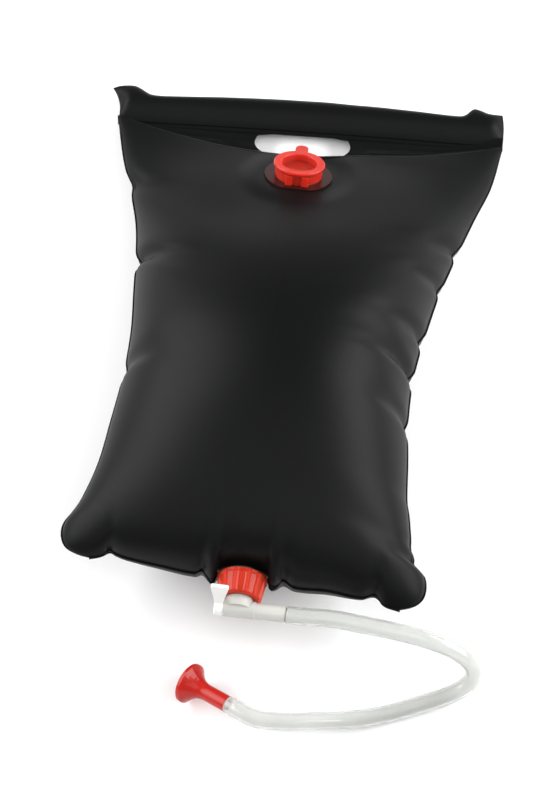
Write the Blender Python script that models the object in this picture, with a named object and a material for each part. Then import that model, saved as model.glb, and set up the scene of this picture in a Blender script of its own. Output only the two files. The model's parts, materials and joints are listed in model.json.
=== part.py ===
"""A camp shower bag of about 20 litres, lying on its back as it is left in the sun, in metres, +Z up.

X runs along the handle, +Y from the outlet to the handle. The origin is on the floor, under the middle
of the bag with its handle and its outlet elbow. Two plastic sheets are welded round their edges and stand
full. Above the top weld they run on as a band with a hand slot, and end in a sleeve round the handle tube.
A filler with a hinged cap sits near the top of the front sheet. A spout sits in the bottom weld. A ribbed
nut holds the valve elbow on it, a lever turns the plug in the elbow, and a hose with a shower rose lies
on the floor.
"""

import math

import bmesh
import bpy
from mathutils import Vector

# Sheets
flat_width = 0.400
film = 0.0005
gap = 0.0003
seam_width = 0.004
shoulder_width = 0.392
waist_width = 0.264
foot_width = 0.330
pouch_length = 0.479
waist_place_share = 0.45
seam_height = 0.080
front_rise = 0.102
back_fall = 0.092
weld_height = 0.062
weld_bow = 0.048
weld_droop = 0.034
corner_rise = 0.025
corner_power = 10
top_slack = 1.4
band_length = 0.083
across_cells = 26
across_middle_share = 0.5
along_cells = 30
along_even_share = 0.5
band_cells = 10
band_fall_shares = ((0, 0), (0.33, 0.66), (0.80, 0.80), (1, 1))

# Hand slot in the band
slot_length = 0.100
slot_width = 0.033
slot_from_weld = 0.0385

# Handle tube and the sleeve round it
tube_length = 0.320
tube_radius = 0.008
tube_wall = 0.0018
sleeve_slack = 0.0013
sleeve_lap = 0.012
sleeve_neck = 0.004
sleeve_flare = 0.007
sleeve_tilt = math.radians(38)
sleeve_arc_cells = 14
flare_place_share = 0.90
flare_reach_share = 0.14
sleeve_place_shares = (-1, -0.94, -0.87, -0.80, -0.4, 0, 0.4, 0.80, 0.87, 0.94, 1)

# Filler
filler_from_weld = 0.036
filler_tilt = math.radians(28)
filler_flat_reach = 0.044
flange_radius = 0.033
flange_thickness = 0.0012
flange_flat = 0.0295
neck_radius = 0.0230
neck_wall = 0.0035
neck_height = 0.0115
neck_foot_radius = 0.0285
neck_foot_thickness = 0.0012

# Filler cap
cap_radius = 0.0250
cap_rim = 0.0032
cap_rim_edge = 0.0008
plug_depth = 0.0060
plug_clearance = 0.0005
plug_wall = 0.0018
dish_floor = 0.0016
tab_width = 0.0125
tab_reach = 0.0130
tab_thickness = 0.0022
tab_overlap = 0.0040
strap_width = 0.0065
strap_thickness = 0.0012
strap_spacing = 0.0160

# Spout in the bottom weld
spout_inset = 0.010
spout_inset_fade = 0.020
boat_width = 0.060
boat_thickness = 0.024
boat_depth = 0.014
boat_proud = 0.0015
spout_body_share = 0.85
collar_radius = 0.0170
collar_thickness = 0.0020
thread_radius = 0.0148
thread_length = 0.0160
thread_ridge = 0.0010
thread_ridge_width = 0.0016
thread_pitch = 0.0040
thread_turns = 3
thread_steps = 24
spout_bore = 0.0085

# Washer and nut
washer_thickness = 0.0020
washer_radius = 0.0146
nut_radius = 0.0212
nut_front_radius = 0.0185
nut_rim = 0.0010
nut_rim_width = 0.0026
nut_rib = 0.0010
nut_ribs = 12
nut_rib_steps = 8
nut_length = 0.0224
nut_wall = 0.0025
nut_clearance = 0.0004
nut_edge = 0.0015

# Elbow
elbow_flange_thickness = 0.0025
socket_radius = 0.0125
socket_wall = 0.0020
socket_clearance = 0.0004
socket_floor = 0.0040
socket_cap = 0.0010
body_radius = 0.0078
body_left = 0.0130
body_right = 0.0150
arm_radius = 0.00725
arm_wall = 0.0020
arm_reach = 0.0430
arm_clearance = 0.0008
arm_tip = 0.0012
hose_gap = 0.0004

# Valve plug and lever
plug_radius = 0.0058
plug_reach = 0.0115
plug_bore = 0.0034
plug_bore_left = 0.0045
plug_port = 0.0028
hub_length = 0.0082
hub_edge = 0.0010
lever_reach = 0.0330
lever_neck = 0.0010
lever_tip_width = 0.0160
lever_root_width = 0.0076
lever_thickness = 0.0030
lever_lean = math.radians(8)
lever_corner_cells = 5
lever_corner_share = 0.25

# Hose
hose_radius = 0.0080
hose_bevel_resolution = 3
hose_steps = 2
hose_lead_shares = (0.0, 0.8, 1.6)
hose_route = (
    (0.0860, -0.3035, 0.0795),
    (0.1140, -0.3052, 0.0785),
    (0.1430, -0.3070, 0.0765),
    (0.1700, -0.3090, 0.0720),
    (0.1930, -0.3110, 0.0630),
    (0.2095, -0.3135, 0.0490),
    (0.2165, -0.3175, 0.0320),
    (0.2110, -0.3235, 0.0165),
    (0.1960, -0.3320, 0.0092),
    (0.1700, -0.3450, 0.0083),
    (0.1380, -0.3590, 0.0090),
    (0.1070, -0.3695, 0.0135),
    (0.0770, -0.3785, 0.0220),
    (0.0480, -0.3865, 0.0305),
    (0.0260, -0.3885, 0.0360),
)

# Shower rose
rose_radius = 0.01875
rose_length = 0.0460
rose_neck_radius = 0.0075
rose_neck_length = 0.0240
rose_bore = 0.0045
rose_wall = 0.0016
rose_rim = 0.0030
rose_face = (-0.0374, -0.3540, 0.01805)
rose_turn = math.radians(30)
rose_pitch = math.radians(16)
rose_flare_cells = 6
plate_thickness = 0.0015
plate_recess = 0.0012
plate_clearance = 0.0003
plate_ledge = 0.0012
hole_radius = 0.0009
hole_sides = 6
hole_ring_shares = ((0.0, 1), (0.36, 6), (0.72, 12))

# Roundness
round_sides = 32
small_sides = 16
arm_sides = 26
cutter_overrun = 0.002
smooth_angle = math.radians(35)

# Places that follow from the sizes above
inner_weld = gap / 2
sleeve_radius = tube_radius + sleeve_slack
sleeve_outer = sleeve_radius + sleeve_flare + film / 2
handle_height = sleeve_radius + film / 2
weld_to_handle = band_length + sleeve_radius + sleeve_neck
thread_start = boat_proud + collar_thickness
thread_end = thread_start + thread_length
washer_start = thread_end + gap
washer_end = washer_start + washer_thickness
elbow_start = washer_end + gap
elbow_flange_end = elbow_start + elbow_flange_thickness
nut_face_inside = elbow_flange_end + gap
nut_front = nut_face_inside + nut_wall
arm_along = nut_front + arm_clearance + body_radius
elbow_end = arm_along + body_radius
outlet_reach = elbow_end - spout_inset
total_length = outlet_reach + pouch_length + weld_to_handle + sleeve_outer
foot_y = outlet_reach - total_length / 2
weld_y = foot_y + pouch_length
handle_y = weld_y + weld_to_handle
edge_y = weld_y + band_length
level_y = edge_y - sleeve_lap - sleeve_neck
filler_y = weld_y - filler_from_weld
slot_y = weld_y + slot_from_weld
outlet_y = foot_y + spout_inset


def look(name, colour, roughness, metallic=0.0, alpha=1.0):
    material = bpy.data.materials.new(name)
    material.use_nodes = True
    shader = material.node_tree.nodes["Principled BSDF"]
    shader.inputs["Base Color"].default_value = (*colour, 1.0)
    shader.inputs["Roughness"].default_value = roughness
    shader.inputs["Metallic"].default_value = metallic
    shader.inputs["Alpha"].default_value = alpha
    return material


def empty(name, place, turn=(0, 0, 0), parent=None):
    guide = bpy.data.objects.new(name, None)
    bpy.context.scene.collection.objects.link(guide)
    guide.location = place
    guide.rotation_euler = turn
    guide.parent = parent
    return guide


def piece(name, shape, material, parent):
    """An object from a bmesh, with its faces turned outward."""
    bmesh.ops.recalc_face_normals(shape, faces=shape.faces)
    mesh = bpy.data.meshes.new(name)
    shape.to_mesh(mesh)
    shape.free()
    mesh.shade_smooth()
    mesh.set_sharp_from_angle(angle=smooth_angle)
    if material:
        mesh.materials.append(material)
    obj = bpy.data.objects.new(name, mesh)
    bpy.context.scene.collection.objects.link(obj)
    obj.parent = parent
    return obj


def helper(obj):
    """Hides a shape that only cuts or joins another."""
    obj.hide_render = True
    obj.display_type = "WIRE"
    return obj


def combine(obj, other, operation):
    step = obj.modifiers.new(f"{operation.lower()} {other.name}", "BOOLEAN")
    step.operation = operation
    step.solver = "EXACT"
    step.object = helper(other)


def skin(shape, rings, closed_round=True, closed_along=False):
    """Faces between rings of points. A ring of one point is a tip."""
    pairs = list(zip(rings, rings[1:]))
    if closed_along:
        pairs.append((rings[-1], rings[0]))
    for lower, upper in pairs:
        count = max(len(lower), len(upper))
        for side in range(count if closed_round else count - 1):
            after = (side + 1) % count
            corners = (
                lower[side % len(lower)],
                lower[after % len(lower)],
                upper[after % len(upper)],
                upper[side % len(upper)],
            )
            shape.faces.new(tuple(dict.fromkeys(corners)))


def turned(name, profile, material, parent, sides=round_sides, reach=None):
    """A solid turned about its own Z from (radius, height) points, open only if both ends lie on the axis."""
    shape = bmesh.new()
    rings = []
    for radius, height in profile:
        ring = []
        for side in range(sides if radius else 1):
            angle = math.tau * side / sides
            out = reach(radius, height, angle) if reach and radius else radius
            ring.append(shape.verts.new((out * math.cos(angle), out * math.sin(angle), height)))
        rings.append(ring)
    skin(shape, rings, closed_along=len(rings[0]) > 1)
    return piece(name, shape, material, parent)


def rod(name, radius, low, high, parent, sides=round_sides):
    return turned(name, ((0, low), (radius, low), (radius, high), (0, high)), None, parent, sides)


def prism(name, outline, low, high, material, parent):
    """An outline of (x, y) points, raised along its own Z."""
    shape = bmesh.new()
    rings = [[shape.verts.new((x, y, z)) for x, y in outline] for z in (low, high)]
    skin(shape, rings)
    for ring in rings:
        shape.faces.new(ring)
    return piece(name, shape, material, parent)


def box(name, low, high, material, parent):
    outline = ((low[0], low[1]), (high[0], low[1]), (high[0], high[1]), (low[0], high[1]))
    return prism(name, outline, low[2], high[2], material, parent)


def ease(share):
    share = min(max(share, 0.0), 1.0)
    return share * share * (3 - 2 * share)


def half_width(along):
    """Half of the standing width at a share of the pouch's length, narrowest at the waist."""
    if along < waist_place_share:
        end_width = foot_width
        share = (waist_place_share - along) / waist_place_share
    else:
        end_width = shoulder_width
        share = (along - waist_place_share) / (1 - waist_place_share)
    return (waist_width + (end_width - waist_width) * share * share) / 2


def foot_edge(x, side_share):
    """The bottom edge: round corners, and drawn in at the spout."""
    inset = spout_inset * ease(1 + (boat_width / 2 - abs(x)) / spout_inset_fade)
    return foot_y + inset + corner_rise * abs(side_share) ** corner_power


def weld_line(side_share):
    return weld_y + weld_bow * side_share**2


def weld_level(side_share):
    return weld_height - weld_droop * side_share**2


def middle_level(along, side_share):
    """Height of the side seams, and of the surface midway between the sheets."""
    drop = ease((along - waist_place_share) / (1 - waist_place_share))
    return seam_height + (weld_level(side_share) - seam_height) * drop


def boat_lift(x, y):
    """How far the sheets part round the spout's welded base."""
    fade = ease((outlet_y + 4 * boat_depth - y) / (3 * boat_depth))
    return boat_thickness / 2 * max(0.0, 1 - 2 * abs(x) / boat_width) * fade


def fullness(along_angle):
    """Share of the full height along the pouch: steep at the foot, slack towards the handle."""
    along = (1 - math.cos(along_angle)) / 2
    return math.sin(along_angle) ** (1 + top_slack * along)


def pouch_height(side, along_angle, side_angle, x, y):
    rise = front_rise if side > 0 else back_fall
    along = (1 - math.cos(along_angle)) / 2
    full = rise * fullness(along_angle) * math.cos(side_angle)
    return middle_level(along, math.sin(side_angle)) + side * (inner_weld + boat_lift(x, y) + full)


def filler_level():
    """Height of the front sheet's inner face at the filler, whose plane runs down to the weld."""
    return weld_height + inner_weld + filler_from_weld * math.tan(filler_tilt)


def band_fall(share):
    """How far the band has come down from the weld to the handle: steep, then nearly flat through the hand slot."""
    for (start, low), (end, high) in zip(band_fall_shares, band_fall_shares[1:]):
        if share <= end:
            return low + (high - low) * ease((share - start) / (end - start))
    return band_fall_shares[-1][1]


def seated(x, y, z, lowest):
    """The front sheet lies in one plane under the filler, and nowhere near it rises over that plane."""
    plane = filler_level() - (y - filler_y) * math.tan(filler_tilt)
    away = max(abs(x), abs(y - filler_y) / math.cos(filler_tilt))
    if away < filler_flat_reach:
        return max(plane, lowest)
    fade = ease(2 - away / filler_flat_reach)
    return max(z + (min(z, plane) - z) * fade, lowest)


def across_angles():
    """Angles across a sheet, closer together in the middle."""
    angles = []
    for cell in range(across_cells + 1):
        share = 2 * cell / across_cells - 1
        warped = across_middle_share * share + (1 - across_middle_share) * share**3
        angles.append(math.pi / 2 * warped)
    return angles


def sheet_columns(half):
    """(x, angle) of each column for a half width: the weld's outer edge, then the free sheet."""
    inner = half - seam_width
    columns = [(inner * math.sin(angle), angle) for angle in across_angles()]
    return [(-half, -math.pi / 2), *columns, (half, math.pi / 2)]


def sheet_rows(side):
    """Rows of points of one sheet's inner face, from the bottom edge to the handle's edge."""
    rows = []
    for step in range(-1, along_cells + 1):
        share = max(step, 0) / along_cells
        angle = math.pi * share + along_even_share * math.sin(math.tau * share) / 2
        along = (1 - math.cos(angle)) / 2
        half = half_width(along)
        row = []
        for x, side_angle in sheet_columns(half):
            side_share = x / half
            low = foot_edge(x, side_share) + (seam_width if step >= 0 else 0)
            y = low + (weld_line(side_share) - low) * along
            z = pouch_height(side, angle, side_angle, x, y)
            lowest = middle_level(along, side_share) + inner_weld
            row.append((x, y, seated(x, y, z, lowest) if side > 0 else max(z, film)))
        rows.append(row)
    for step in range(1, band_cells + 2):
        row = []
        for x, _ in sheet_columns(shoulder_width / 2):
            side_share = 2 * x / shoulder_width
            share = min(step / band_cells, 1)
            y = weld_line(side_share) + (level_y - weld_line(side_share)) * share
            z = weld_level(side_share) + (handle_height - weld_level(side_share)) * band_fall(share)
            row.append((x, y if step <= band_cells else edge_y, z + side * inner_weld))
        rows.append(row)
    return rows


def thicken(obj, thickness, offset):
    wall = obj.modifiers.new("film", "SOLIDIFY")
    wall.thickness = thickness
    wall.offset = offset
    wall.use_even_offset = True
    wall.use_quality_normals = True


def grid(name, rows, material, parent, up):
    """An open surface through rows of points, its faces turned up or down."""
    shape = bmesh.new()
    rings = [[shape.verts.new(place) for place in row] for row in rows]
    skin(shape, rings, closed_round=False)
    shape.normal_update()
    if sum(face.normal.z for face in shape.faces) * up < 0:
        bmesh.ops.reverse_faces(shape, faces=shape.faces)
    mesh = bpy.data.meshes.new(name)
    shape.to_mesh(mesh)
    shape.free()
    mesh.shade_smooth()
    mesh.materials.append(material)
    obj = bpy.data.objects.new(name, mesh)
    bpy.context.scene.collection.objects.link(obj)
    obj.parent = parent
    return obj


def slot_outline():
    """The hand slot: straight sides and half-round ends."""
    radius = slot_width / 2
    points = []
    for step in range(2 * (small_sides // 2 + 1)):
        end = 1 if step <= small_sides // 2 else -1
        turn = step if end > 0 else step - 1
        angle = math.pi * turn / (small_sides // 2) - math.pi / 2
        centre = end * (slot_length / 2 - radius)
        points.append((centre + radius * math.cos(angle), slot_y + radius * math.sin(angle)))
    return points


def make_sheets(root, filler):
    black = look("black pvc film", (0.012, 0.013, 0.014), 0.42)
    for name, side in (("front_sheet", 1), ("back_sheet", -1)):
        sheet = grid(name, sheet_rows(side), black, root, side)
        thicken(sheet, film, 1)
        slot = prism(f"{name} slot", slot_outline(), -cutter_overrun, seam_height, None, root)
        combine(sheet, slot, "DIFFERENCE")
        if side > 0:
            hole = rod("filler hole", neck_radius + gap, -neck_radius, neck_radius, filler)
            combine(sheet, hole, "DIFFERENCE")


def sleeve_section(x):
    """(y, z) points of the sleeve's film at one place along the handle, from its front lap round to its back lap."""
    lap = inner_weld + film + gap + film / 2
    share = abs(x) / (flat_width / 2)
    bump = math.exp(-(((share - flare_place_share) / flare_reach_share) ** 2))
    points = [(edge_y - sleeve_lap, handle_height + lap), (edge_y, handle_height + lap)]
    for step in range(sleeve_arc_cells + 1):
        angle = math.pi - sleeve_tilt - 2 * (math.pi - sleeve_tilt) * step / sleeve_arc_cells
        y = handle_y + (sleeve_radius + sleeve_flare * bump * max(0.0, math.cos(angle))) * math.cos(angle)
        points.append((y, handle_height + sleeve_radius * math.sin(angle)))
    points += [(edge_y, handle_height - lap), (edge_y - sleeve_lap, handle_height - lap)]
    return points


def make_handle(root):
    black = look("black sleeve film", (0.010, 0.011, 0.012), 0.40)
    half = shoulder_width / 2
    places = [half * share for share in sleeve_place_shares]
    rows = [[(x, y, z) for y, z in sleeve_section(x)] for x in places]
    sleeve = grid("handle_sleeve", rows, black, root, 1)
    thicken(sleeve, film, 0)
    grey = look("grey handle tube", (0.08, 0.08, 0.08), 0.5)
    seat = handle_height - sleeve_radius + film / 2 + gap + tube_radius
    axis = empty("handle tube axis", (0, handle_y, seat), (0, math.pi / 2, 0), root)
    bore = tube_radius - tube_wall
    half_tube = tube_length / 2
    profile = ((tube_radius, -half_tube), (tube_radius, half_tube), (bore, half_tube), (bore, -half_tube))
    turned("handle_tube", profile, grey, axis, small_sides)


def make_filler(filler):
    """The filler's pieces, in a frame whose Z is square to the front sheet's outer face."""
    red = look("red neck", (0.72, 0.045, 0.025), 0.32)
    smoke = look("dark clear flange", (0.06, 0.02, 0.02), 0.25)
    flange = turned(
        "fill_flange",
        (
            (flange_radius, gap),
            (flange_radius, gap + flange_thickness),
            (neck_radius + gap, gap + flange_thickness),
            (neck_radius + gap, gap),
        ),
        smoke,
        filler,
    )
    flat = box(
        "flange flat",
        (-flange_radius, -flange_radius - cutter_overrun, -cutter_overrun),
        (flange_radius, -flange_flat, cutter_overrun + flange_thickness),
        None,
        filler,
    )
    combine(flange, flat, "DIFFERENCE")
    bore = neck_radius - neck_wall
    under = -film - gap
    turned(
        "fill_neck",
        (
            (neck_radius, neck_height),
            (bore, neck_height),
            (bore, under - neck_foot_thickness),
            (neck_foot_radius, under - neck_foot_thickness),
            (neck_foot_radius, under),
            (neck_radius, under),
        ),
        red,
        filler,
    )
    foot = gap + flange_thickness + gap
    for side, name in ((-1, "cap_strap_left"), (1, "cap_strap_right")):
        middle = side * strap_spacing / 2
        low = (middle - strap_width / 2, -cap_radius - strap_thickness / 2, foot)
        high = (middle + strap_width / 2, -cap_radius + strap_thickness / 2, neck_height)
        box(name, low, high, red, filler)


def make_cap(hinge):
    """The cap, in a frame on its hinge: Z square to the rim, the cap's middle one cap radius along Y."""
    red = look("red cap", (0.80, 0.040, 0.022), 0.30)
    middle = empty("cap middle", (0, cap_radius, 0), parent=hinge)
    plug = neck_radius - neck_wall - plug_clearance
    dish = plug - plug_wall
    edge = cap_rim_edge
    cap = turned(
        "fill_cap",
        (
            (0, -plug_depth),
            (plug - edge, -plug_depth),
            (plug, -plug_depth + edge),
            (plug, 0),
            (cap_radius - edge, 0),
            (cap_radius, edge),
            (cap_radius, cap_rim - edge),
            (cap_radius - edge, cap_rim),
            (dish + edge, cap_rim),
            (dish, cap_rim - edge),
            (dish - edge, dish_floor - plug_depth),
            (0, dish_floor - plug_depth),
        ),
        red,
        middle,
    )
    radius = tab_width / 2
    tip = cap_radius + tab_reach - radius
    outline = [(radius, cap_radius - tab_overlap)]
    for step in range(small_sides // 2 + 1):
        angle = math.pi * step / (small_sides // 2)
        outline.append((radius * math.cos(angle), tip + radius * math.sin(angle)))
    outline.append((-radius, cap_radius - tab_overlap))
    low = cap_rim - tab_thickness - edge
    tab = prism("lift tab", outline, low, low + tab_thickness, None, middle)
    combine(cap, tab, "UNION")


def thread_ridge_ring(spout):
    """One unbroken helical ridge, sunk into the spout's wall so that it joins it."""
    shape = bmesh.new()
    rings = []
    inner = thread_radius - thread_ridge
    for step in range(thread_turns * thread_steps + 1):
        angle = math.tau * step / thread_steps
        middle = thread_start + thread_pitch * step / thread_steps + thread_ridge_width + gap
        corners = (
            (inner, middle - thread_ridge_width / 2),
            (thread_radius + thread_ridge, middle),
            (inner, middle + thread_ridge_width / 2),
        )
        ring = [(out * math.cos(angle), out * math.sin(angle), z) for out, z in corners]
        rings.append([shape.verts.new(place) for place in ring])
    skin(shape, rings)
    shape.faces.new(rings[0])
    shape.faces.new(rings[-1])
    return piece("spout thread", shape, None, spout)


def make_outlet(outlet):
    """Spout, washer, nut, elbow and lever, in a frame whose Z points out of the bag and whose Y points up."""
    dark = look("dark spout", (0.03, 0.03, 0.03), 0.45)
    half_boat = boat_width / 2 - gap
    rise = boat_thickness / 2 - gap
    body = rise * spout_body_share
    diamond = ((half_boat, 0), (0, rise), (-half_boat, 0), (0, -rise))
    spout = prism("outlet_spout", diamond, -boat_depth, boat_proud, dark, outlet)
    profile = (
        (0, -boat_depth / 2),
        (body, -boat_depth / 2),
        (body, gap),
        (collar_radius, boat_proud),
        (collar_radius, thread_start),
        (thread_radius, thread_start),
        (thread_radius, thread_end),
        (0, thread_end),
    )
    combine(spout, turned("spout body", profile, None, outlet), "UNION")
    combine(spout, thread_ridge_ring(outlet), "UNION")
    ends = (-boat_depth - cutter_overrun, thread_end + cutter_overrun)
    combine(spout, rod("spout bore", spout_bore, *ends, outlet), "DIFFERENCE")

    rubber = look("black washer", (0.03, 0.03, 0.03), 0.7)
    hole = socket_radius - socket_wall
    profile = (
        (hole, washer_start),
        (washer_radius, washer_start),
        (washer_radius, washer_end),
        (hole, washer_end),
    )
    turned("outlet_washer", profile, rubber, outlet)
    make_nut(outlet)
    arm_axis = empty("arm axis", (0, 0, arm_along), (math.pi / 2, 0, math.pi / 2), outlet)
    make_elbow(outlet, arm_axis)
    make_lever(arm_axis)


def nut_outline(radius, height, angle):
    """Narrow ribs on the nut's side, fading out at its front edge, and none inside it."""
    if radius < nut_front_radius - nut_edge / 2 or height < nut_front - nut_length + nut_rim_width:
        return radius
    phase = angle * nut_ribs / math.tau % 1
    return radius + (nut_rib if abs(phase - 0.5) < 1.01 / nut_rib_steps else 0)


def make_nut(outlet):
    red = look("red nut", (0.76, 0.055, 0.025), 0.34)
    back = nut_front - nut_length
    bore = thread_radius + thread_ridge + nut_clearance
    hole = socket_radius + socket_clearance
    rim_front = back + nut_rim_width
    turned(
        "outlet_nut",
        (
            (bore, back),
            (nut_radius + nut_rim, back),
            (nut_radius + nut_rim, rim_front),
            (nut_radius, rim_front + nut_rim),
            (nut_front_radius, nut_front - nut_edge),
            (nut_front_radius - nut_edge, nut_front),
            (hole, nut_front),
            (hole, nut_face_inside),
            (bore, nut_face_inside),
        ),
        red,
        outlet,
        nut_ribs * nut_rib_steps,
        nut_outline,
    )


def make_elbow(outlet, arm_axis):
    """A flanged socket on the outlet's axis, and across its end a valve body that runs on as the arm."""
    milky = look("milky elbow", (0.83, 0.83, 0.80), 0.35)
    socket_end = arm_along + socket_cap
    profile = (
        (0, elbow_start),
        (washer_radius, elbow_start),
        (washer_radius, elbow_flange_end),
        (socket_radius, elbow_flange_end),
        (socket_radius, socket_end),
        (0, socket_end),
    )
    elbow = turned("elbow", profile, milky, outlet)
    profile = (
        (0, -body_left),
        (body_radius, -body_left),
        (body_radius, body_right),
        (arm_radius, body_right + body_radius - arm_radius),
        (arm_radius, arm_reach - arm_tip),
        (arm_radius - arm_tip, arm_reach),
        (0, arm_reach),
    )
    combine(elbow, turned("valve body and arm", profile, None, arm_axis, arm_sides), "UNION")
    shoulder = plug_reach + gap
    profile = (
        (0, -body_left - cutter_overrun),
        (plug_radius + gap, -body_left - cutter_overrun),
        (plug_radius + gap, shoulder),
        (arm_radius - arm_wall, shoulder),
        (arm_radius - arm_wall, arm_reach + cutter_overrun),
        (0, arm_reach + cutter_overrun),
    )
    way = turned("plug seat and arm bore", profile, None, arm_axis, arm_sides)
    ends = (elbow_start - cutter_overrun, arm_along - socket_floor)
    combine(way, rod("socket bore", socket_radius - socket_wall, *ends, outlet), "UNION")
    combine(elbow, way, "DIFFERENCE")


def make_lever(arm_axis):
    """The valve's plug, its hub and thumb lever. The axis frame has Z along the arm, X up and Y off the bag."""
    white = look("white lever", (0.88, 0.88, 0.86), 0.4)
    hub_end = -body_left - gap
    hub_start = hub_end - hub_length
    profile = (
        (0, hub_start),
        (body_radius - hub_edge, hub_start),
        (body_radius, hub_start + hub_edge),
        (body_radius, hub_end),
        (plug_radius, hub_end),
        (plug_radius, plug_reach),
        (0, plug_reach),
    )
    lever = turned("valve_lever", profile, white, arm_axis, arm_sides)
    ends = (-plug_bore_left, plug_reach + cutter_overrun)
    combine(lever, rod("plug way", plug_bore, *ends, arm_axis, arm_sides), "DIFFERENCE")
    port_axis = empty("plug port axis", (0, 0, 0), (math.pi / 2, 0, 0), arm_axis)
    port = rod("plug port", plug_port, 0, plug_radius + cutter_overrun, port_axis, small_sides)
    combine(lever, port, "DIFFERENCE")
    root = lever_root_width / 2
    tip = lever_tip_width / 2
    neck = body_radius + lever_neck
    corner = lever_corner_share * tip
    points = [(neck, -root), (0, -root), (0, root), (neck, root)]
    for side in (1, -1):
        for step in range(lever_corner_cells + 1):
            share = step / lever_corner_cells
            angle = math.pi / 2 * (1 - share if side > 0 else -share)
            across = side * (tip - corner) + corner * math.sin(angle)
            points.append((lever_reach - corner + corner * math.cos(angle), across))
    place = (0, 0, hub_end - hub_length / 2)
    blade = empty("thumb blade axis", place, (math.pi / 2, 0, -lever_lean), arm_axis)
    thumb = prism("thumb blade", points, -lever_thickness / 2, lever_thickness / 2, None, blade)
    combine(lever, thumb, "UNION")


def smooth_points(route, per_span):
    """Points on a smooth curve through the route's own points."""
    places = [Vector(place) for place in route]
    places = [2 * places[0] - places[1], *places, 2 * places[-1] - places[-2]]
    points = []
    for before, start, end, after in zip(places, places[1:], places[2:], places[3:]):
        for step in range(per_span):
            share = step / per_span
            leave = (end - before) / 2
            arrive = (after - start) / 2
            points.append(
                start * (2 * share**3 - 3 * share**2 + 1)
                + leave * (share**3 - 2 * share**2 + share)
                + end * (3 * share**2 - 2 * share**3)
                + arrive * (share**3 - share**2)
            )
    points.append(places[-2])
    return points


def rose_direction():
    """Unit vector from the rose's neck towards its face."""
    level = math.cos(rose_pitch)
    return Vector((-math.cos(rose_turn) * level, math.sin(rose_turn) * level, -math.sin(rose_pitch)))


def make_hose(root):
    clear = look("milky hose", (0.80, 0.81, 0.80), 0.3)
    leads = [hose_radius * share for share in hose_lead_shares]
    arm_end = Vector((arm_reach + hose_gap, outlet_y - arm_along, seam_height))
    start = [arm_end + Vector((lead, 0, 0)) for lead in leads]
    neck = Vector(rose_face) - rose_direction() * (rose_length + gap)
    end = [neck - rose_direction() * lead for lead in reversed(leads)]
    points = smooth_points((*start, *hose_route, *end), hose_steps)
    data = bpy.data.curves.new("hose", "CURVE")
    data.dimensions = "3D"
    data.bevel_depth = hose_radius
    data.bevel_resolution = hose_bevel_resolution
    data.use_fill_caps = True
    spline = data.splines.new("POLY")
    spline.points.add(len(points) - 1)
    for point, place in zip(spline.points, points):
        point.co = (*place, 1)
    data.materials.append(clear)
    hose = bpy.data.objects.new("hose", data)
    bpy.context.scene.collection.objects.link(hose)
    hose.parent = root


def make_rose(root):
    """The rose in a frame at its face, whose Z points out of the face."""
    red = look("red rose", (0.66, 0.035, 0.030), 0.22)
    face = empty("rose face", rose_face, parent=root)
    face.rotation_euler = rose_direction().to_track_quat("Z", "Y").to_euler()
    outside = []
    inside = []
    neck_end = -rose_length + rose_neck_length
    for step in range(rose_flare_cells + 1):
        share = step / rose_flare_cells
        height = neck_end + (-rose_rim - neck_end) * share
        swell = share**2.2
        outside.append((rose_neck_radius + (rose_radius - rose_neck_radius) * swell, height))
        wide = rose_radius - rose_wall - plate_ledge
        inside.append((rose_bore + (wide - rose_bore) * swell, height))
    lip = rose_radius - rose_wall
    floor = -plate_recess - plate_thickness - gap
    turned(
        "rose_body",
        (
            (rose_bore, -rose_length),
            (rose_neck_radius, -rose_length),
            *outside,
            (rose_radius, 0),
            (lip, 0),
            (lip, floor),
            (lip - plate_ledge, floor),
            *inside[::-1],
        ),
        red,
        face,
    )
    make_plate(face, lip - plate_clearance)


def circle(radius, sides, middle=(0, 0)):
    """(x, y) points of a circle."""
    turns = [math.tau * (side + 0.5) / sides for side in range(sides)]
    return [(middle[0] + radius * math.cos(turn), middle[1] + radius * math.sin(turn)) for turn in turns]


def make_plate(face, radius):
    """The rose's plate and the small holes through it."""
    material = look("red rose plate", (0.60, 0.030, 0.026), 0.3)
    top = -plate_recess
    low = top - plate_thickness
    plate = prism("rose_plate", circle(radius, round_sides), low, top, material, face)
    shape = bmesh.new()
    for share, count in hole_ring_shares:
        for turn in range(count):
            angle = math.tau * turn / count
            middle = (radius * share * math.cos(angle), radius * share * math.sin(angle))
            rings = []
            for z in (low - cutter_overrun, top + cutter_overrun):
                rings.append([shape.verts.new((x, y, z)) for x, y in circle(hole_radius, hole_sides, middle)])
            skin(shape, rings)
            for ring in rings:
                shape.faces.new(ring)
    combine(plate, piece("rose holes", shape, None, face), "DIFFERENCE")


def clear_scene():
    for obj in list(bpy.data.objects):
        bpy.data.objects.remove(obj, do_unlink=True)


def main():
    clear_scene()
    root = empty("shower bag", (0, 0, 0))
    outer_level = filler_level() + film / math.cos(filler_tilt)
    filler = empty("filler seat", (0, filler_y, outer_level), (-filler_tilt, 0, 0), root)
    make_sheets(root, filler)
    make_handle(root)
    make_filler(filler)
    make_cap(empty("cap hinge", (0, -cap_radius, neck_height + gap), parent=filler))
    outlet = empty("outlet axis", (0, outlet_y, seam_height), (math.pi / 2, 0, 0), root)
    make_outlet(outlet)
    make_hose(root)
    make_rose(root)


main()
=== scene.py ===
"""The looks of a camp shower bag that lies on its back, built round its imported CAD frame, in metres."""

import json
import math

import bmesh
import bpy
from mathutils import Matrix, Vector, noise


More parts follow.
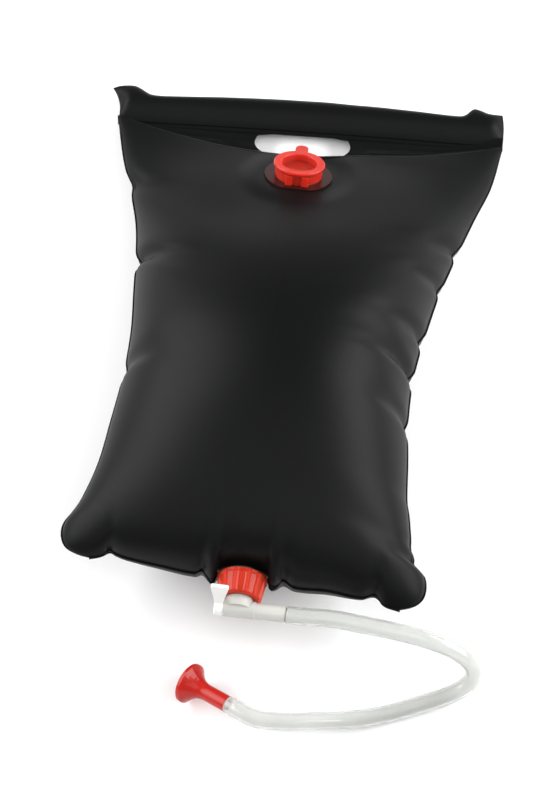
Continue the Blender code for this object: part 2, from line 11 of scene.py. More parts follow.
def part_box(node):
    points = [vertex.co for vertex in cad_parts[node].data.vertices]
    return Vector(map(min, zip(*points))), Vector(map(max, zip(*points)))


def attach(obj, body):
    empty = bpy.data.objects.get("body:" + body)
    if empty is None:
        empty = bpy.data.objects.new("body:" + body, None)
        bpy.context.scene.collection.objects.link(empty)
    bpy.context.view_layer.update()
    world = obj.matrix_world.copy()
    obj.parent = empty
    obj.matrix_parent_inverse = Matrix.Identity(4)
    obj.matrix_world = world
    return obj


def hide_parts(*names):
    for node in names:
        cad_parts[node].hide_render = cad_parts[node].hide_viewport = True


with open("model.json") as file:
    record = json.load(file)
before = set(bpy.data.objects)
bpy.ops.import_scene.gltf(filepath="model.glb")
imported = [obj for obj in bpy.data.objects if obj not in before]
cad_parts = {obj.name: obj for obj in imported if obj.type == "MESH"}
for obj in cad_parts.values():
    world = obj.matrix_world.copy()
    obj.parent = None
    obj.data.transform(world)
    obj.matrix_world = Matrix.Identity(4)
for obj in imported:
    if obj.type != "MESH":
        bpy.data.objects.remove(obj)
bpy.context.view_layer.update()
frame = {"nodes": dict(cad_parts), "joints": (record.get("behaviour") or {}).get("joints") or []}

# Photograph's view
view_turn = math.radians(4.0)
view_rise = math.radians(60.0)
view_roll = math.radians(3.3)
view_distance = 2.6
view_target = Vector((0.0, -0.0771, 0.060))
view_lens_mm = 125.0
view_sensor_mm = 36.0

# Places read from the frame
joints = {joint["name"]: joint for joint in frame["joints"]}
outlet_place = Vector(joints["nut_turn"]["pos_m"])
lever_place = Vector(joints["lever_turn"]["pos_m"])
foot_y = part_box("front_sheet")[0].y
handle_low, handle_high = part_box("handle_tube")
handle_place = (handle_low + handle_high) / 2
arm_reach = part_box("elbow")[1].x

# Film, and the flat size of the two sheets
film = 0.0005
gap = 0.0003
inner_weld = gap / 2
seam_width = 0.0020
sharp_angle = math.radians(60)

# Pouch
pouch_length = 0.479
front_rise = 0.102
back_fall = 0.092
waist_place_share = 0.45
front_slack = 0.8
back_slack = 1.4
crest_softness_share = 0.24
crest_skew = 0.14
swell = 0.0016
swell_spread = 0.085
swell_growth_share = 4
across_cells = 140
across_middle_share = 0.6
along_cells = 150
along_even_share = 0.5

# Outline of the sheets: (share of the pouch's length, distance from the middle) up each side
left_outline = (
    (0.0, 0.1385),
    (0.004, 0.1510),
    (0.012, 0.1605),
    (0.026, 0.1660),
    (0.045, 0.1680),
    (0.062, 0.1665),
    (0.085, 0.1605),
    (0.114, 0.1545),
    (0.19, 0.1455),
    (0.286, 0.1405),
    (0.381, 0.1365),
    (0.476, 0.1360),
    (0.571, 0.1405),
    (0.667, 0.1455),
    (0.743, 0.1515),
    (0.819, 0.1625),
    (0.905, 0.1775),
    (1.0, 0.1905),
)
right_outline = (
    (0.0, 0.1430),
    (0.004, 0.1510),
    (0.010, 0.1575),
    (0.020, 0.1625),
    (0.032, 0.1645),
    (0.048, 0.1642),
    (0.066, 0.1615),
    (0.085, 0.1555),
    (0.104, 0.1480),
    (0.128, 0.1465),
    (0.175, 0.1425),
    (0.2, 0.1395),
    (0.278, 0.1365),
    (0.37, 0.1325),
    (0.463, 0.1335),
    (0.556, 0.1405),
    (0.648, 0.1495),
    (0.741, 0.1625),
    (0.833, 0.1765),
    (0.907, 0.1895),
    (1.0, 0.1975),
)

# Skew of the bottom weld, and how fast its wrinkles die away up the bag
foot_skew = -0.035
foot_fade_share = 0.030

# Bottom weld, top weld and height of the top weld: (x, y) or (x, z), from left to right
foot_line = (
    (-0.1385, -0.2740),
    (-0.1270, -0.2695),
    (-0.1222, -0.2635),
    (-0.1165, -0.2665),
    (-0.1067, -0.2695),
    (-0.0735, -0.2736),
    (-0.0430, -0.2764),
    (-0.0368, -0.2725),
    (-0.0315, -0.2785),
    (-0.0270, -0.2825),
    (-0.0242, -0.2790),
    (-0.0220, -0.2700),
    (0.0, -0.2690),
    (0.0220, -0.2700),
    (0.0242, -0.2785),
    (0.0275, -0.2820),
    (0.0325, -0.2785),
    (0.0358, -0.2730),
    (0.0475, -0.2790),
    (0.0774, -0.2783),
    (0.1076, -0.2812),
    (0.1196, -0.2765),
    (0.1277, -0.2850),
    (0.1430, -0.2890),
)
weld_line = (
    (-0.1905, 0.2490),
    (-0.1400, 0.2300),
    (-0.0725, 0.2070),
    (0.0, 0.2000),
    (0.0525, 0.2090),
    (0.1255, 0.2285),
    (0.1975, 0.2620),
)
weld_heights = (
    (-0.1905, 0.028),
    (-0.1400, 0.037),
    (-0.0725, 0.054),
    (0.0, 0.062),
    (0.0525, 0.060),
    (0.1255, 0.048),
    (0.1975, 0.028),
)

# Folds that run in from the side seams: side, share of the pouch's length, width, depth
edge_folds = (
    (-1, 0.642, 0.014, 0.0065),
    (-1, 0.387, 0.016, 0.0030),
    (-1, 0.840, 0.020, 0.0035),
    (1, 0.744, 0.014, 0.0050),
    (1, 0.654, 0.012, 0.0035),
    (1, 0.533, 0.014, 0.0045),
    (1, 0.448, 0.012, 0.0070),
    (1, 0.344, 0.013, 0.0035),
    (1, 0.078, 0.012, 0.0060),
)
fold_reach = 0.034
fold_slant = 0.30
notch_power = 3

# Spout in the bottom weld
boat_width = 0.060
boat_thickness = 0.024
boat_depth = 0.014
boat_spread_share = 1.25
boat_end_share = 4
boat_fade_share = 3

# Filler
filler_from_weld = 0.036
filler_tilt = math.radians(28)
weld_height = 0.062
filler_flat_reach = 0.037
filler_fade_reach = 0.062
neck_radius = 0.0230
hole_sides = 32
cut_overrun = 0.0230

# Band between the top weld and the sleeve, and its hand slot
band_length = 0.083
band_cells = 40
band_fall_shares = ((0.0, 0.0), (0.33, 0.66), (0.80, 0.80), (1.0, 1.0))
band_skew = 0.055
band_bow = 0.0015
band_set_back = 0.0070
band_bow_reach = 0.150
slot_length = 0.0965
slot_width = 0.0372
slot_from_weld = 0.0444
slot_x = -0.0026
slot_sides = 24

# Sleeve
sleeve_slack = 0.0013
sleeve_lap = 0.008
sleeve_neck = 0.004
sleeve_tilt = math.radians(38)
sleeve_meet_share = 0.35
sleeve_rise_cells = 14
sleeve_cells = 160
sleeve_arc_cells = 36
sleeve_wave_share = 0.03
sleeve_wave_spread = 0.030

# Handle's tube, and its offset from the middle of the sleeve
rod_wall = 0.0018
rod_sides = 32
rod_cells = 24
rod_set_off = 0.0005

# Sleeve's far edge from the tube's axis, its half height, and the lean of its two ends: (x, length)
sleeve_depths = (
    (-0.1912, 0.0180),
    (-0.1875, 0.0215),
    (-0.1800, 0.0220),
    (-0.1725, 0.0180),
    (-0.1650, 0.0130),
    (-0.1600, 0.0116),
    (-0.1500, 0.0113),
    (-0.1200, 0.0128),
    (-0.0750, 0.0148),
    (0.0, 0.0163),
    (0.0750, 0.0148),
    (0.1200, 0.0130),
    (0.1500, 0.0116),
    (0.1570, 0.0134),
    (0.1650, 0.0222),
    (0.1720, 0.0212),
    (0.1820, 0.0175),
    (0.1980, 0.0180),
)
sleeve_halves = (
    (-0.1912, 0.0012),
    (-0.1880, 0.0060),
    (-0.1820, 0.0093),
    (0.1820, 0.0093),
    (0.1900, 0.0070),
    (0.1980, 0.0012),
)
sleeve_leans = ((-0.1912, -0.0112), (-0.1800, 0.0), (0.1820, 0.0), (0.1980, -0.0030))
lean_power = 3

# Creases across the band: ends (x, y), height and width
band_creases = (
    ((-0.190, 0.2460), (-0.158, 0.2360), 0.0024, 0.0030),
    ((-0.120, 0.2370), (-0.086, 0.2340), 0.0018, 0.0045),
    ((-0.080, 0.2330), (-0.056, 0.2230), -0.0014, 0.0055),
    ((0.068, 0.2400), (0.120, 0.2480), 0.0018, 0.0050),
    ((0.134, 0.2440), (0.196, 0.2700), 0.0045, 0.0080),
)
crease_growth_share = 4

# Hose, from the elbow's arm to the shower rose
hose_radius = 0.0080
hose_wall = 0.0018
hose_gap = 0.0004
hose_sides = 24
hose_steps = 5
hose_lead_shares = (0.0, 0.8, 1.6)
hose_route = (
    (0.0860, -0.3035, 0.0795),
    (0.1140, -0.3052, 0.0785),
    (0.1430, -0.3070, 0.0765),
    (0.1700, -0.3090, 0.0720),
    (0.1930, -0.3110, 0.0630),
    (0.2095, -0.3135, 0.0490),
    (0.2165, -0.3175, 0.0320),
    (0.2110, -0.3235, 0.0165),
    (0.1960, -0.3320, 0.0092),
    (0.1700, -0.3450, 0.0083),
    (0.1380, -0.3590, 0.0090),
    (0.1070, -0.3695, 0.0135),
    (0.0770, -0.3785, 0.0220),
    (0.0480, -0.3865, 0.0305),
    (0.0260, -0.3885, 0.0360),
)

# Shower rose
rose_length = 0.0460
rose_face = Vector((-0.0374, -0.3540, 0.01805))
rose_turn = math.radians(30)
rose_pitch = math.radians(16)

# Floor and sky
floor_half = 3.0
world_strength = 0.20

# Soft boxes: (name, place, size, power), and the place that all of them face
lights = (
    ("left soft box", (-1.9, 0.2, 1.3), (3.0, 1.4), 84.0),
    ("right soft box", (1.9, 0.3, 1.3), (3.0, 1.4), 92.0),
    ("front soft box", (0.2, -1.6, 2.6), (2.4, 2.4), 28.0),
)
light_aim = Vector((0.0, 0.0, 0.0))

# Materials: colour, roughness and its mottle, strength and size of the grain, and the shader's own sockets
mottle_scale = 9.0
plastic_grain_size = 0.001
film_grain_size = 0.0012
glow_depth = 0.02
finishes = {
    "milky hose": {
        "colour": (0.86, 0.87, 0.85),
        "roughness": 0.16,
        "grain": 0.02,
        "Transmission_Weight": 0.75,
        "IOR": 1.38,
    },
    "black film": {
        "colour": (0.0032, 0.0034, 0.0036),
        "roughness": 0.44,
        "mottle": 0.05,
        "grain": 0.10,
        "grain_size": film_grain_size,
        "Specular_IOR_Level": 0.11,
    },
    "grey tube": {"colour": (0.10, 0.10, 0.10), "roughness": 0.5, "mottle": 0.04, "grain": 0.04},
    "red cap": {
        "colour": (0.50, 0.020, 0.010),
        "roughness": 0.34,
        "grain": 0.05,
        "Specular_IOR_Level": 0.3,
        "Subsurface_Weight": 0.8,
        "Subsurface_Scale": glow_depth,
    },
    "smoky flange": {
        "colour": (0.035, 0.005, 0.004),
        "roughness": 0.28,
        "grain": 0.02,
        "Specular_IOR_Level": 0.2,
    },
    "dark spout": {"colour": (0.03, 0.03, 0.03), "roughness": 0.45, "grain": 0.05},
    "washer": {"colour": (0.03, 0.03, 0.03), "roughness": 0.7, "mottle": 0.05, "grain": 0.06},
    "orange red nut": {
        "colour": (0.50, 0.028, 0.009),
        "roughness": 0.36,
        "grain": 0.05,
        "Specular_IOR_Level": 0.25,
        "Subsurface_Weight": 0.8,
        "Subsurface_Scale": glow_depth,
    },
    "milky elbow": {
        "colour": (0.74, 0.74, 0.70),
        "roughness": 0.3,
        "grain": 0.03,
        "Transmission_Weight": 0.4,
        "IOR": 1.3,
    },
    "white lever": {"colour": (0.78, 0.79, 0.76), "roughness": 0.38, "grain": 0.05},
    "red rose": {
        "colour": (0.42, 0.015, 0.010),
        "roughness": 0.22,
        "grain": 0.03,
        "Specular_IOR_Level": 0.25,
    },
    "rose plate": {"colour": (0.26, 0.012, 0.010), "roughness": 0.3, "mottle": 0.03, "grain": 0.03},
    "pale floor": {"colour": (0.93, 0.93, 0.93), "roughness": 0.9, "mottle": 0.05},
}

# CAD pieces that are shown as they are, by their material
dressed_nodes = {
    "red cap": ("fill_neck", "fill_cap", "cap_strap_left", "cap_strap_right"),
    "smoky flange": ("fill_flange",),
    "dark spout": ("outlet_spout",),
    "washer": ("outlet_washer",),
    "orange red nut": ("outlet_nut",),
    "milky elbow": ("elbow",),
    "white lever": ("valve_lever",),
    "red rose": ("rose_body",),
    "rose plate": ("rose_plate",),
}

# Places that follow from the sizes and tables above
seam_height = outlet_place.z
arm_y = lever_place.y
weld_y = foot_y + pouch_length
edge_y = weld_y + band_length
level_y = edge_y - sleeve_lap - sleeve_neck
slot_y = weld_y + slot_from_weld
filler_y = weld_y - filler_from_weld
filler_level = weld_height + inner_weld + filler_from_weld * math.tan(filler_tilt)
sleeve_radius = (handle_high.z - handle_low.z) / 2 + sleeve_slack
handle_height = sleeve_radius + film / 2

# Sides of the band: (x at the weld, x at the handle)
band_sides = ((weld_line[0][0], sleeve_depths[0][0]), (weld_line[-1][0], sleeve_depths[-1][0]))


def make_camera():
    """A camera that looks at the bag as the photographer did, rolled a little."""
    level = math.cos(view_rise)
    back = Vector((math.sin(view_turn) * level, -math.cos(view_turn) * level, math.sin(view_rise)))
    right = Vector((math.cos(view_turn), math.sin(view_turn), 0))
    up = back.cross(right)
    across = right * math.cos(view_roll) + up * math.sin(view_roll)
    above = up * math.cos(view_roll) - right * math.sin(view_roll)
    camera = bpy.data.objects.new("camera", bpy.data.cameras.new("camera"))
    camera.data.lens = view_lens_mm
    camera.data.sensor_width = view_sensor_mm
    place = view_target + back * view_distance
    camera.matrix_world = Matrix.Translation(place) @ Matrix((across, above, back)).transposed().to_4x4()
    bpy.context.scene.collection.objects.link(camera)
    bpy.context.scene.camera = camera


def curve_weights(share):
    """What a smooth curve takes of its start, its end, and its slopes at both, at a share of a span."""
    return (
        2 * share**3 - 3 * share**2 + 1,
        3 * share**2 - 2 * share**3,
        share**3 - 2 * share**2 + share,
        share**3 - share**2,
    )


def smooth_points(route, per_span):
    """Points on a smooth curve through the route's own points."""
    places = [Vector(place) for place in route]
    places = [2 * places[0] - places[1], *places, 2 * places[-1] - places[-2]]
    points = []
    for before, start, end, after in zip(places, places[1:], places[2:], places[3:]):
        leave = (end - before) / 2
        arrive = (after - start) / 2
        for step in range(per_span):
            weights = curve_weights(step / per_span)
            points.append(start * weights[0] + leave * weights[2] + end * weights[1] + arrive * weights[3])
    points.append(places[-2])
    return points


def through(points, place):
    """Height at a place on a smooth line through (place, height) points."""
    if place <= points[0][0]:
        return points[0][1]
    if place >= points[-1][0]:
        return points[-1][1]
    after = next(index for index, point in enumerate(points) if place < point[0])
    before = after - 1
    slopes = []
    for index in (before, after):
        low = points[max(index - 1, 0)]
        high = points[min(index + 1, len(points) - 1)]
        slopes.append((high[1] - low[1]) / (high[0] - low[0]))
    span = points[after][0] - points[before][0]
    weights = curve_weights((place - points[before][0]) / span)
    start = points[before][1] * weights[0]
    end = points[after][1] * weights[1]
    leave = slopes[0] * span * weights[2]
    arrive = slopes[1] * span * weights[3]
    return start + end + leave + arrive


def ease(share):
    """A share from 0 to 1 that starts and ends slowly."""
    share = min(max(share, 0.0), 1.0)
    return share * share * (3 - 2 * share)


def soft_lower(first, second, softness):
    """The lower of two heights, rounded where they meet."""
    near = max(softness - abs(first - second), 0) / softness
    return min(first, second) - near * near * softness / 4


def new_object(name, shape, material):
    mesh = bpy.data.meshes.new(name)
    shape.to_mesh(mesh)
    shape.free()
    mesh.shade_smooth()
    mesh.materials.append(material)
    obj = bpy.data.objects.new(name, mesh)
    bpy.context.scene.collection.objects.link(obj)
    return obj


def ring_faces(shape, rings, closed_along=False):
    """Faces between rings of points, each ring joined to the next."""
    pairs = list(zip(rings, rings[1:]))
    if closed_along:
        pairs.append((rings[-1], rings[0]))
    for lower, upper in pairs:
        for side, vert in enumerate(lower):
            after = (side + 1) % len(lower)
            shape.faces.new((vert, lower[after], upper[after], upper[side]))


def tube_rings(shape, points, radius, sides):
    """Rings of points round a path, carried along it without twist."""
    rings = []
    normal = Vector((0, 0, 1))
    for step, point in enumerate(points):
        ahead = points[min(step + 1, len(points) - 1)]
        behind = points[max(step - 1, 0)]
        direction = (ahead - behind).normalized()
        normal = (normal - direction * normal.dot(direction)).normalized()
        side_way = direction.cross(normal)
        ring = []
        for side in range(sides):
            angle = math.tau * side / sides
            out = normal * math.cos(angle) + side_way * math.sin(angle)
            ring.append(shape.verts.new(point + out * radius))
        rings.append(ring)
    return rings


def pipe(name, points, radius, wall, sides, material):
    """An open pipe along a path."""
    shape = bmesh.new()
    outer = tube_rings(shape, points, radius, sides)
    inner = tube_rings(shape, points, radius - wall, sides)
    ring_faces(shape, [*outer, *inner[::-1]], closed_along=True)
    bmesh.ops.recalc_face_normals(shape, faces=shape.faces)
    return new_object(name, shape, material)


def grid(name, rows, material, up):
    """An open surface through rows of points, its faces turned up or down."""
    shape = bmesh.new()
    rings = [[shape.verts.new(place) for place in row] for row in rows]
    for lower, upper in zip(rings, rings[1:]):
        for side in range(len(lower) - 1):
            shape.faces.new((lower[side], lower[side + 1], upper[side + 1], upper[side]))
    shape.normal_update()
    if sum(face.normal.z for face in shape.faces) * up < 0:
        bmesh.ops.reverse_faces(shape, faces=shape.faces)
    return new_object(name, shape, material)


def prism(name, outline, low, high, place, material):
    """An outline of (x, y) points, raised between two heights of a frame."""
    shape = bmesh.new()
    rings = [[shape.verts.new(place @ Vector((x, y, z))) for x, y in outline] for z in (low, high)]
    ring_faces(shape, rings)
    for ring in rings:
        shape.faces.new(ring)
    bmesh.ops.recalc_face_normals(shape, faces=shape.faces)
    return new_object(name, shape, material)


def circle(radius, sides):
    turns = [math.tau * side / sides for side in range(sides)]
    return [(radius * math.cos(turn), radius * math.sin(turn)) for turn in turns]


def thicken(obj, offset):
    """Gives a surface the film's thickness."""
    wall = obj.modifiers.new("film", "SOLIDIFY")
    wall.thickness = film
    wall.offset = offset
    wall.use_even_offset = True
    wall.use_quality_normals = True


def cut(obj, cutter):
    step = obj.modifiers.new("cut", "BOOLEAN")
    step.operation = "DIFFERENCE"
    step.solver = "EXACT"
    step.object = cutter


def settle(obj, cutters):
    """Turns an object's modifiers into its mesh, takes the cutters away, and keeps its edges sharp."""
    bpy.context.view_layer.update()
    mesh = bpy.data.meshes.new_from_object(obj.evaluated_get(bpy.context.evaluated_depsgraph_get()))
    obj.modifiers.clear()
    obj.data = mesh
    for cutter in cutters:
        bpy.data.objects.remove(cutter, do_unlink=True)
    obj.data.shade_smooth()
    obj.data.set_sharp_from_angle(angle=sharp_angle)


def rose_direction():
    """Unit vector from the rose's neck towards its face."""
    level = math.cos(rose_pitch)
    return Vector((-math.cos(rose_turn) * level, math.sin(rose_turn) * level, -math.sin(rose_pitch)))


def hose_points():
    """The hose's middle line, straight where it leaves the elbow's arm and where it meets the rose."""
    leads = [hose_radius * share for share in hose_lead_shares]
    arm_end = Vector((arm_reach + hose_gap, arm_y, outlet_place.z))
    start = [arm_end + Vector((lead, 0, 0)) for lead in leads]
    neck = rose_face - rose_direction() * (rose_length + gap)
    end = [neck - rose_direction() * lead for lead in reversed(leads)]
    return smooth_points((*start, *hose_route, *end), hose_steps)


def make_hose(material):
    points = hose_points()
    hose = pipe("clear_hose", points, hose_radius, hose_wall, hose_sides, material)
    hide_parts("hose")
    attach(hose, "outlet")


def fold_depth(side_share, along, across):
    """Depth of the folds that run in from the side seams, at a distance from the seam."""
    depth = 0.0
    for fold_side, place, width, strength in edge_folds:
        if fold_side * side_share > 0:
            slant = fold_slant * across / pouch_length * math.copysign(1, place - waist_place_share)
            offset = (along - place + slant) / (width * (1 + across / fold_reach))
            depth += strength * math.exp(-offset * offset)
    return depth * math.exp(-across / fold_reach)


def middle_level(along, x):
    """Height of the side seams, and of the surface midway between the sheets."""
    drop = ease((along - waist_place_share) / (1 - waist_place_share))
    return seam_height + (through(weld_heights, x) - seam_height) * drop


def boat_lift(x, y):
    """How far the sheets part round the spout's welded base."""
    end = outlet_place.y + boat_end_share * boat_depth
    fade = ease((end - y) / (boat_fade_share * boat_depth))
    share = min(abs(x) / (boat_width * boat_spread_share), 0.5)
    return boat_thickness / 2 * math.cos(math.pi * share) ** 2 * fade


def filler_plane(y):
    """Height of the plane that the filler lies in, which falls towards the handle."""
    return filler_level - (y - filler_y) * math.tan(filler_tilt)


def crest(side, angle, along):
    """Height of a sheet's middle line over the seams. The front one comes down to the filler's plane."""
    if side < 0:
        return back_fall * math.sin(angle) ** (1 + back_slack * along)
    level = middle_level(along, 0) + inner_weld
    full = front_rise * math.sin(angle) ** (1 + front_slack * along)
    y = foot_y + pouch_length * along
    softness = crest_softness_share * (weld_y - y) + film
    return max(soft_lower(level + full, filler_plane(y), softness) - level, 0)


def seated(x, y, z, lowest):
    """Height of the front sheet, which lies in one plane under the filler."""
    away = math.hypot(x, (y - filler_y) / math.cos(filler_tilt))
    fade = ease((filler_fade_reach - away) / (filler_fade_reach - filler_flat_reach))
    return max(z + (filler_plane(y) - z) * fade, lowest)


def sheet_columns():
    """Angles across a sheet, closer together in the middle, each with its inset for the side welds."""
    columns = []
    for cell in range(across_cells + 1):
        share = 2 * cell / across_cells - 1
        warped = across_middle_share * share + (1 - across_middle_share) * share**3
        columns.append((math.pi / 2 * warped, seam_width))
    return [(-math.pi / 2, 0), *columns, (math.pi / 2, 0)]


def pouch_place(along, foot_inset, side_angle, side_inset):
    """Place (x, y) on a sheet, and its distance from the nearer side weld."""
    left = -through(left_outline, along)
    right = through(right_outline, along)
    side_share = math.sin(side_angle)
    notch = fold_depth(side_share, along, 0) * abs(side_share) ** notch_power
    reach = (right - left) / 2 - side_inset - notch
    x = (left + right) / 2 + reach * side_share
    low = foot_y + foot_skew * x
    wrinkle = (through(foot_line, x) - low) * math.exp(-along / foot_fade_share)
    low += foot_inset
    y = low + wrinkle + (through(weld_line, x) - low) * along
    return x, y, reach * (1 - abs(side_share))


def pouch_point(side, angle, foot_inset, side_angle, side_inset):
    """A point of a sheet's inner face, from its angles up and across the pouch."""
    along = (1 - math.cos(angle)) / 2
    x, y, across = pouch_place(along, foot_inset, side_angle, side_inset)
    skewed = side_angle - crest_skew * math.cos(side_angle) ** 2
    full = crest(side, angle, along) * max(math.cos(skewed), 0)
    growth = min(full / swell / swell_growth_share, 1)
    waves = noise.noise(Vector((x, y, side)) / swell_spread) * swell * growth
    folds = fold_depth(math.sin(side_angle), along, across) * min(across / seam_width, 1)
    lift = inner_weld + math.hypot(boat_lift(x, y), max(full + waves - folds, 0))
    level = middle_level(along, x)
    if side < 0:
        return x, y, max(level - lift, film)
    return x, y, seated(x, y, level + lift, level + inner_weld)


def pouch_rows(side):
    """Rows of points of a sheet's inner face, from the bottom weld's outer edge up to the top weld."""
    rows = []
    for step in range(-1, along_cells + 1):
        share = max(step, 0) / along_cells
        angle = math.pi * share + along_even_share * math.sin(math.tau * share) / 2
        foot_inset = seam_width if step >= 0 else 0
        rows.append([pouch_point(side, angle, foot_inset, *column) for column in sheet_columns()])
    return rows


def crease_height(x, y):
    """Height of the creases in the band at a place."""
    height = 0.0
    place = Vector((x, y))
    for start, end, strength, width in band_creases:
        start, end = Vector(start), Vector(end)
        share = min(max((place - start).dot(end - start) / (end - start).length_squared, 0.0), 1.0)
        offset = (place - start.lerp(end, share)).length / width
        height += strength * math.exp(-offset * offset)
    return height


def tube_line(x):
    """How far the shown tube lies from its straight place: skewed, set back, and bowed back at its ends."""
    share = min(abs(x) / band_bow_reach, 1)
    return band_skew * x - band_bow * share * share - band_set_back


def band_fall(share):
    """Share of the fall from the weld to the handle: steep, then nearly flat through the hand slot."""
    for (start, low), (end, high) in zip(band_fall_shares, band_fall_shares[1:]):
        if share <= end:
            return low + (high - low) * ease((share - start) / (end - start))
    return band_fall_shares[-1][1]


def band_rows(side, weld_row):
    """Rows of points of a sheet's inner face from the top weld to the handle and into the sleeve's lap."""
    rows = []
    for step in range(1, band_cells + 1):
        share = step / band_cells
        row = []
        for x, start, _ in weld_row:
            x += (through(band_sides, x) - x) * share
            y = start + (level_y + tube_line(x) - start) * share
            top = through(weld_heights, x)
            crease = crease_height(x, y) * ease(crease_growth_share * share)
            z = top + (handle_height - top) * band_fall(share) + crease
            row.append((x, y, max(z, film) + side * inner_weld))
        rows.append(row)
    rows.append([(x, edge_y + tube_line(x), z) for x, _, z in rows[-1]])
    return rows


def slot_outline():
    """The hand slot: straight sides and half-round ends."""
    radius = slot_width / 2
    points = []
    for end in (1, -1):
        for step in range(slot_sides // 2 + 1):
            angle = end * (math.pi * step / (slot_sides // 2) - math.pi / 2)
            if end < 0:
                angle = math.pi - angle
            across = end * (slot_length / 2 - radius)
            points.append((across + radius * math.cos(angle), radius * math.sin(angle)))
    return points


def make_sheet(name, node, side, material):
    """One sheet with its hand slot. The front one, on side 1, has the filler's hole too."""
    pouch = pouch_rows(side)
    sheet = grid(name, [*pouch, *band_rows(side, pouch[-1])], material, side)
    thicken(sheet, 1)
    slot_turn = Matrix.Rotation(math.atan(band_skew), 4, "Z")
    slot_place = Matrix.Translation((slot_x, slot_y, 0)) @ slot_turn
    cutters = [prism("slot", slot_outline(), -cut_overrun, seam_height, slot_place, material)]
    if side > 0:
        filler_turn = Matrix.Rotation(-filler_tilt, 4, "X")
        filler_place = Matrix.Translation((0, filler_y, filler_level)) @ filler_turn
        hole = circle(neck_radius + gap, hole_sides)
        cutters.append(prism("hole", hole, -cut_overrun, cut_overrun, filler_place, material))
    for cutter in cutters:
        cut(sheet, cutter)
    settle(sheet, cutters)
    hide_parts(node)
    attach(sheet, "bag")


def leaned(x, start, reach, points):
    """The sleeve's (y, z) points in space: creased, kept off the floor, and leaned towards its far edge."""
    lean = through(sleeve_leans, x)
    section = []
    for y, z in points:
        height = handle_height + z + crease_height(x, y)
        section.append((x + lean * ((y - start) / reach) ** lean_power, y, max(height, film / 2)))
    return section


def sleeve_section(x):
    """The sleeve's film at one place along the handle: points from its front lap round to its back lap."""
    lap = inner_weld + film + gap + film / 2
    deep = through(sleeve_depths, x)
    tall = through(sleeve_halves, x)
    middle_y = handle_place.y + tube_line(x)
    start = edge_y - sleeve_lap + tube_line(x)
    end = edge_y + tube_line(x)
    meet = math.pi - math.acos(sleeve_meet_share)
    meet_y = middle_y + sleeve_radius * math.cos(meet)
    meet_z = tall * math.sin(meet)
    slope = tall / sleeve_radius / math.tan(math.pi - meet)
    points = []
    for step in range(sleeve_rise_cells):
        share = step / sleeve_rise_cells
        rise = lap * (1 - ease(share)) + meet_z * ease(share)
        rise += slope * (meet_y - start) * curve_weights(share)[3]
        points.append((start + (meet_y - start) * share, rise))
    for step in range(sleeve_arc_cells + 1):
        angle = meet - (meet + math.pi - sleeve_tilt) * step / sleeve_arc_cells
        wave = 1 + sleeve_wave_share * noise.noise(Vector((x / sleeve_wave_spread, angle, 0)))
        reach = (deep * wave if math.cos(angle) > 0 else sleeve_radius) * math.cos(angle)
        points.append((middle_y + reach, tall * math.sin(angle)))
    points += [(end, -lap), (start, -lap)]
    return leaned(x, start, middle_y + deep - start, points)


def make_sleeve(material):
    low, high = sleeve_depths[0][0], sleeve_depths[-1][0]
    rows = [sleeve_section(low + (high - low) * cell / sleeve_cells) for cell in range(sleeve_cells + 1)]
    sleeve = grid("sleeve_film", rows, material, 1)
    thicken(sleeve, 0)
    settle(sleeve, [])
    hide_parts("handle_sleeve")
    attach(sleeve, "bag")


def make_rod(material):
    """The handle's tube, laid along the sleeve."""
    points = []
    for cell in range(rod_cells + 1):
        x = handle_low.x + (handle_high.x - handle_low.x) * cell / rod_cells
        points.append(Vector((x, handle_place.y + tube_line(x) + rod_set_off, handle_place.z)))
    rod = pipe("handle_rod", points, (handle_high.z - handle_low.z) / 2, rod_wall, rod_sides, material)
    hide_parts("handle_tube")
    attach(rod, "tube")


def add_mottle(material, roughness, mottle):
    """Lets a material's roughness vary slowly from place to place."""
    nodes = material.node_tree.nodes
    links = material.node_tree.links
    place = nodes.new("ShaderNodeTexCoord")
    cloud = nodes.new("ShaderNodeTexNoise")
    cloud.inputs["Scale"].default_value = mottle_scale
    spread = nodes.new("ShaderNodeMapRange")
    spread.inputs["To Min"].default_value = roughness - mottle
    spread.inputs["To Max"].default_value = roughness + mottle
    links.new(place.outputs["Object"], cloud.inputs["Vector"])
    links.new(cloud.outputs["Fac"], spread.inputs["Value"])
    links.new(spread.outputs["Result"], nodes["Principled BSDF"].inputs["Roughness"])


def add_grain(material, grain, grain_size):
    """Gives a material a fine bump."""
    nodes = material.node_tree.nodes
    links = material.node_tree.links
    place = nodes.new("ShaderNodeTexCoord")
    fine = nodes.new("ShaderNodeTexNoise")
    fine.inputs["Scale"].default_value = 1 / grain_size
    bump = nodes.new("ShaderNodeBump")
    bump.inputs["Strength"].default_value = grain
    bump.inputs["Distance"].default_value = grain_size
    links.new(place.outputs["Object"], fine.inputs["Vector"])
    links.new(fine.outputs["Fac"], bump.inputs["Height"])
    links.new(bump.outputs["Normal"], nodes["Principled BSDF"].inputs["Normal"])


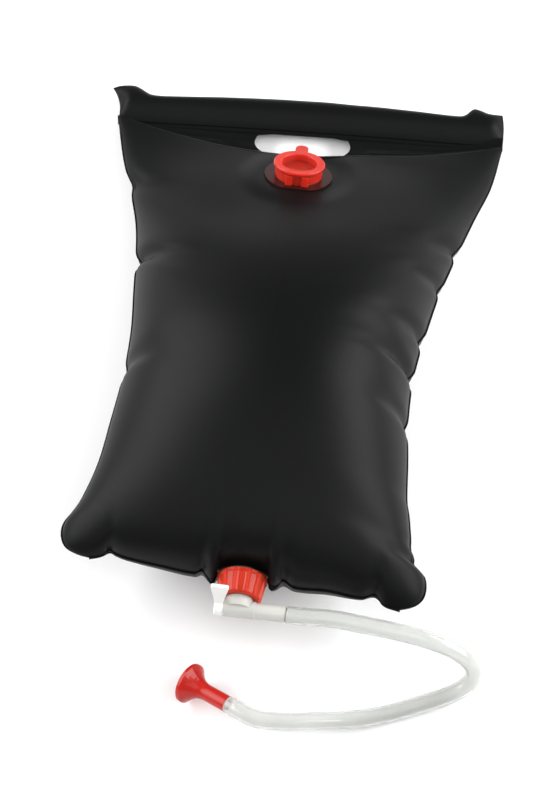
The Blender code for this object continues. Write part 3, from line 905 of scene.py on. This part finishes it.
def plastic(name, colour, roughness, mottle=0.0, grain=0.0, grain_size=plastic_grain_size, **sockets):
    """A material with uneven roughness where it has a mottle, and a fine bump where it has a grain."""
    material = bpy.data.materials.new(name)
    material.use_nodes = True
    shader = material.node_tree.nodes["Principled BSDF"]
    shader.inputs["Base Color"].default_value = (*colour, 1.0)
    shader.inputs["Roughness"].default_value = roughness
    for socket, value in sockets.items():
        shader.inputs[socket.replace("_", " ")].default_value = value
    if mottle:
        add_mottle(material, roughness, mottle)
    if grain:
        add_grain(material, grain, grain_size)
    return material


def finish(name):
    return plastic(name, **finishes[name])


def dress(material, names):
    """Gives CAD pieces a material in place of their own."""
    for name in names:
        obj = frame["nodes"][name]
        obj.data.materials.clear()
        obj.data.materials.append(material)


def make_floor():
    shape = bmesh.new()
    corners = ((-1, -1), (1, -1), (1, 1), (-1, 1))
    shape.faces.new([shape.verts.new((x * floor_half, y * floor_half, 0)) for x, y in corners])
    floor = new_object("floor", shape, finish("pale floor"))


def make_light(name, place, size, power):
    """A soft box that faces the lights' common aim."""
    data = bpy.data.lights.new(name, "AREA")
    data.shape = "RECTANGLE"
    data.size, data.size_y = size
    data.energy = power
    light = bpy.data.objects.new(name, data)
    turn = (light_aim - Vector(place)).to_track_quat("-Z", "Y")
    light.matrix_world = Matrix.Translation(place) @ turn.to_matrix().to_4x4()
    bpy.context.scene.collection.objects.link(light)


def make_world():
    world = bpy.data.worlds.new("studio")
    world.use_nodes = True
    sky = world.node_tree.nodes["Background"]
    sky.inputs["Color"].default_value = (1.0, 1.0, 1.0, 1.0)
    sky.inputs["Strength"].default_value = world_strength
    bpy.context.scene.world = world
    bpy.context.scene.view_settings.view_transform = "Standard"


def main():
    make_camera()
    make_hose(finish("milky hose"))
    black = finish("black film")
    make_sheet("front_film", "front_sheet", 1, black)
    make_sheet("back_film", "back_sheet", -1, black)
    make_sleeve(black)
    make_rod(finish("grey tube"))
    for name, nodes in dressed_nodes.items():
        dress(finish(name), nodes)
    make_floor()
    make_world()
    for light in lights:
        make_light(*light)


main()
